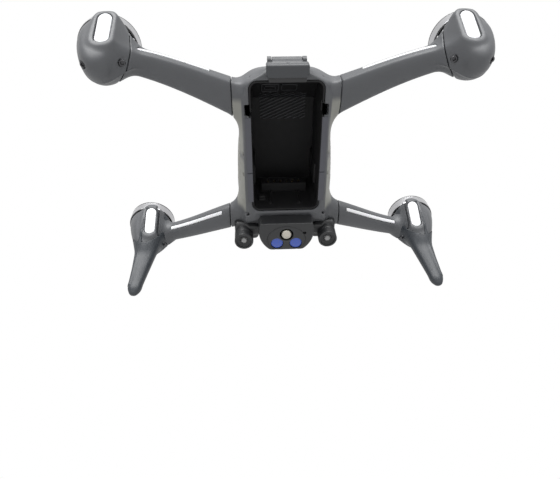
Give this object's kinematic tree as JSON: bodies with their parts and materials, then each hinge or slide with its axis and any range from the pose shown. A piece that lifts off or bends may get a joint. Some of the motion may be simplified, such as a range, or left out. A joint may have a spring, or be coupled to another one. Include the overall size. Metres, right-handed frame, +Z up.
{
  "type": "quadcopter camera drone",
  "caption": "Camera drone with swept arms, round motor pods, front landing legs, hinged tail power plug, tilting nose camera and an open battery bay in its belly; no propellers or pack.",
  "frame": {"origin": "middle of the base of the bounding box, on the surface that the landing legs and rear pods stand on", "axes": "+X to the drone's right, +Y to the nose, +Z up along the rotor axes"},
  "size_m": [0.2376, 0.1806, 0.1023],
  "materials": {
    "hull_grey": "fine satin texture",
    "canopy_grey": "fine satin texture",
    "arm_grey": "fine satin texture",
    "pod_grey": "fine satin texture",
    "leg_grey": "fine satin texture",
    "lamp_white": "translucent white diffuser",
    "bell_black": "satin black coat",
    "stator_silver": "bright machined",
    "hub_black": "satin",
    "screw_steel": "blackened",
    "bay_black": "matt, lightly textured",
    "rail_grey": "satin",
    "contact_gold": "plated",
    "vent_grey": "light warm grey",
    "gimbal_black": "satin",
    "camera_black": "semi-gloss",
    "lens_glass": "coated glass",
    "sensor_black": "satin",
    "sensor_silver": "bright reflector",
    "lens_blue": "coated optical window",
    "vision_window": "bright coated optical window",
    "plug_grey": "satin",
    "plug_black": "matt",
    "board_green": "solder mask",
    "fan_black": "satin"
  },
  "bodies": {
    "airframe": {"pod_rear_right": "pod_grey", "pod_lamp_rear_right": "lamp_white", "arm_rear_right": "arm_grey", "arm_strip_rear_right": "lamp_white", "stator_rear_right": "stator_silver", "pod_rear_left": "pod_grey", "pod_lamp_rear_left": "lamp_white", "arm_rear_left": "arm_grey", "arm_strip_rear_left": "lamp_white", "stator_rear_left": "stator_silver", "pod_front_right": "pod_grey", "pod_lamp_front_right": "lamp_white", "arm_front_right": "arm_grey", "arm_strip_front_right": "lamp_white", "stator_front_right": "stator_silver", "pod_front_left": "pod_grey", "pod_lamp_front_left": "lamp_white", "arm_front_left": "arm_grey", "arm_strip_front_left": "lamp_white", "stator_front_left": "stator_silver", "pod_screws": "screw_steel", "landing_leg_right": "leg_grey", "landing_leg_left": "leg_grey", "battery_bay_tub": "bay_black", "bay_contact_block": "bay_black", "bay_contact_blades": "contact_gold", "bay_rails": "rail_grey", "lower_hull": "hull_grey", "side_vent_right": "vent_grey", "side_vent_left": "vent_grey", "gimbal_yoke": "gimbal_black", "belly_sensor_housing": "sensor_black", "belly_lamp": "sensor_silver", "belly_lenses": "lens_blue", "vision_brackets": "sensor_black", "vision_barrels": "sensor_black", "vision_lenses": "vision_window", "plug_bracket": "plug_grey", "plug_pin": "screw_steel", "flight_board": "board_green", "speed_controller_board": "board_green", "fan_frame": "fan_black"},
    "rotor_rear_right": {"motor_bell_rear_right": "bell_black", "prop_hub_rear_right": "hub_black"},
    "rotor_rear_left": {"motor_bell_rear_left": "bell_black", "prop_hub_rear_left": "hub_black"},
    "rotor_front_right": {"motor_bell_front_right": "bell_black", "prop_hub_front_right": "hub_black"},
    "rotor_front_left": {"motor_bell_front_left": "bell_black", "prop_hub_front_left": "hub_black"},
    "canopy": {"top_canopy": "canopy_grey"},
    "power_plug": {"plug_body": "plug_grey", "plug_tongue": "plug_black"},
    "camera": {"camera_body": "camera_black", "camera_lens": "lens_glass"},
    "fan_blades": {"fan_rotor": "fan_black"}
  },
  "joints": [
    {"name": "motor_spin_rear_right", "type": "hinge", "parent": "airframe", "child": "rotor_rear_right", "pos_m": [0.098, -0.07, 0.031], "axis": [0, 0, 1], "continuous": true},
    {"name": "motor_spin_rear_left", "type": "hinge", "parent": "airframe", "child": "rotor_rear_left", "pos_m": [-0.098, -0.07, 0.031], "axis": [0, 0, 1], "continuous": true},
    {"name": "motor_spin_front_right", "type": "hinge", "parent": "airframe", "child": "rotor_front_right", "pos_m": [0.1015, 0.07, 0.0645], "axis": [0, 0, 1], "continuous": true},
    {"name": "motor_spin_front_left", "type": "hinge", "parent": "airframe", "child": "rotor_front_left", "pos_m": [-0.1015, 0.07, 0.0645], "axis": [0, 0, 1], "continuous": true},
    {"name": "plug_hinge", "type": "hinge", "parent": "airframe", "child": "power_plug", "pos_m": [0, -0.0605, 0.0375], "axis": [-1, 0, 0], "range_deg": [0, 80]},
    {"name": "camera_tilt", "type": "hinge", "parent": "airframe", "child": "camera", "pos_m": [0, 0.077, 0.068], "axis": [1, 0, 0], "range_deg": [-65, 70]},
    {"name": "fan_spin", "type": "hinge", "parent": "airframe", "child": "fan_blades", "pos_m": [0, 0.006, 0.0872], "axis": [0, 0, 1], "continuous": true},
    {"name": "canopy_lift", "type": "slide", "parent": "airframe", "child": "canopy", "axis": [0, 0, 1], "range_m": [0, 0.06]}
  ]
}
